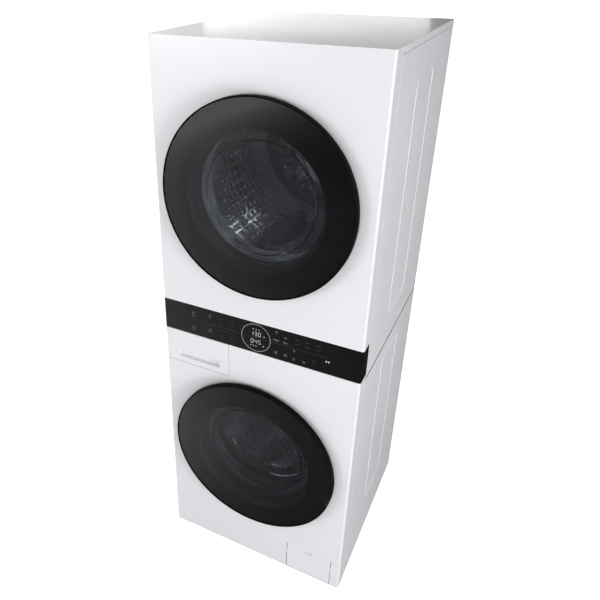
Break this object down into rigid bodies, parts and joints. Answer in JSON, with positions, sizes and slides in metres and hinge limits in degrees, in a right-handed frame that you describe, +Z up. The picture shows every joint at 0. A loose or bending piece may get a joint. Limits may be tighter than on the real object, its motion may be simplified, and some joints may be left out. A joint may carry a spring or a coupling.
{
  "type": "washer dryer stack",
  "caption": "Tall laundry tower: front-loading washer below, dryer above, with round glass doors, shared control panel, detergent drawer, drums and drives.",
  "frame": {"origin": "on the floor, under the middle of the overall box", "axes": "+X to the right as seen from the front, +Y from the doors to the back, +Z up"},
  "size_m": [0.6, 0.66, 1.655],
  "materials": {
    "white_enamel": "smooth white powder coat, semi-gloss",
    "white_plastic": "moulded white plastic matched to the panels",
    "zinc_steel": "zinc-coated sheet, dull",
    "stainless_drum": "polished stainless sheet, perforated and embossed",
    "black_glass_panel": "gloss black touch panel",
    "black_rim": "black moulded ring, satin",
    "tinted_glass": "dark tinted tempered glass with a painted black border",
    "clear_glass": "pressed clear glass",
    "grey_plastic": "moulded grey plastic",
    "light_plastic": "filled polypropylene, natural",
    "rubber": "moulded rubber",
    "concrete": "cast concrete ballast",
    "aluminium_casting": "die-cast aluminium",
    "machine_steel": "painted and ground machine steel",
    "heat_pump_metal": "finned aluminium and painted steel",
    "circuit_board": "printed circuit board"
  },
  "bodies": {
    "root": {"base_frame": "zinc_steel", "levelling_feet": "rubber", "lower_side_left": "white_enamel", "lower_side_right": "white_enamel", "upper_side_left": "white_enamel", "upper_side_right": "white_enamel", "divider_shelf": "zinc_steel", "top_cover": "white_enamel", "lower_rear_cover": "zinc_steel", "upper_rear_cover": "zinc_steel", "lower_front_panel": "white_enamel", "upper_front_panel": "white_enamel", "control_fascia": "black_glass_panel", "control_board": "circuit_board", "hinge_brackets": "zinc_steel", "hinge_pins": "zinc_steel", "latch_catches": "grey_plastic", "tub_front": "light_plastic", "tub_rear": "light_plastic", "door_gasket": "rubber", "counterweight": "concrete", "stator": "machine_steel", "washer_bearings": "machine_steel", "tub_suspension": "machine_steel", "drain_pump": "light_plastic", "dispenser_housing": "light_plastic", "water_connectors": "light_plastic", "cord_gland": "grey_plastic", "dryer_front_bulkhead": "zinc_steel", "dryer_rear_bulkhead": "zinc_steel", "vent_grille": "stainless_drum", "drive_motor": "machine_steel", "drive_belt": "rubber", "heat_pump": "heat_pump_metal"},
    "washer_door": {"washer_door_rim": "black_rim", "washer_door_glass": "tinted_glass", "washer_door_frame": "grey_plastic", "washer_door_bowl": "clear_glass", "washer_hinge_arm": "zinc_steel", "washer_door_hook": "zinc_steel"},
    "dryer_door": {"dryer_door_rim": "black_rim", "dryer_door_glass": "tinted_glass", "dryer_door_frame": "grey_plastic", "dryer_door_bowl": "clear_glass", "dryer_hinge_arm": "zinc_steel", "dryer_door_hook": "zinc_steel"},
    "detergent_drawer": {"detergent_tray": "grey_plastic", "drawer_front": "white_plastic"},
    "pump_cover": {"pump_cover": "white_plastic"},
    "pump_filter": {"pump_filter": "grey_plastic"},
    "washer_drum": {"washer_drum": "stainless_drum", "washer_lifters": "grey_plastic", "drum_spider": "aluminium_casting", "rotor": "machine_steel"},
    "dryer_drum": {"dryer_drum": "stainless_drum", "dryer_lifters": "grey_plastic"},
    "motor_shaft": {"motor_shaft": "machine_steel"},
    "roller_left": {"roller_left": "rubber"},
    "roller_right": {"roller_right": "rubber"},
    "lint_filter": {"lint_filter": "light_plastic"}
  },
  "joints": [
    {"name": "washer_door_hinge", "type": "hinge", "parent": "root", "child": "washer_door", "pos_m": [-0.244, -0.32, 0.455], "axis": [0, 0, -1], "range_deg": [0, 130]},
    {"name": "dryer_door_hinge", "type": "hinge", "parent": "root", "child": "dryer_door", "pos_m": [-0.244, -0.32, 1.282], "axis": [0, 0, -1], "range_deg": [0, 130]},
    {"name": "drawer_slide", "type": "slide", "parent": "root", "child": "detergent_drawer", "axis": [0, -1, 0], "range_m": [0, 0.24]},
    {"name": "pump_cover_hinge", "type": "hinge", "parent": "root", "child": "pump_cover", "pos_m": [0.19525, -0.296, 0.019], "axis": [1, 0, 0], "range_deg": [0, 90]},
    {"name": "pump_filter_turn", "type": "hinge", "parent": "root", "child": "pump_filter", "pos_m": [0.195, -0.24, 0.066], "axis": [0, -1, 0], "range_deg": [0, 180]},
    {"name": "washer_drum_spin", "type": "hinge", "parent": "root", "child": "washer_drum", "pos_m": [0, 0, 0.455], "axis": [0, 1, 0], "continuous": true},
    {"name": "dryer_drum_spin", "type": "hinge", "parent": "root", "child": "dryer_drum", "pos_m": [0, 0, 1.282], "axis": [0, 1, 0], "continuous": true},
    {"name": "motor_shaft_spin", "type": "hinge", "parent": "root", "child": "motor_shaft", "pos_m": [-0.15, 0, 0.915], "axis": [0, 1, 0], "continuous": true},
    {"name": "roller_left_spin", "type": "hinge", "parent": "root", "child": "roller_left", "pos_m": [-0.16966, 0.186, 1.0397], "axis": [0, 1, 0], "continuous": true},
    {"name": "roller_right_spin", "type": "hinge", "parent": "root", "child": "roller_right", "pos_m": [0.16966, 0.186, 1.0397], "axis": [0, 1, 0], "continuous": true},
    {"name": "lint_filter_slide", "type": "slide", "parent": "root", "child": "lint_filter", "axis": [0, 0, 1], "range_m": [0, 0.24]}
  ],
  "couplings": [
    {"joint": "motor_shaft_spin", "follows": "dryer_drum_spin", "ratio": 14.639},
    {"joint": "roller_left_spin", "follows": "dryer_drum_spin", "ratio": -8.2344},
    {"joint": "roller_right_spin", "follows": "dryer_drum_spin", "ratio": -8.2344}
  ]
}
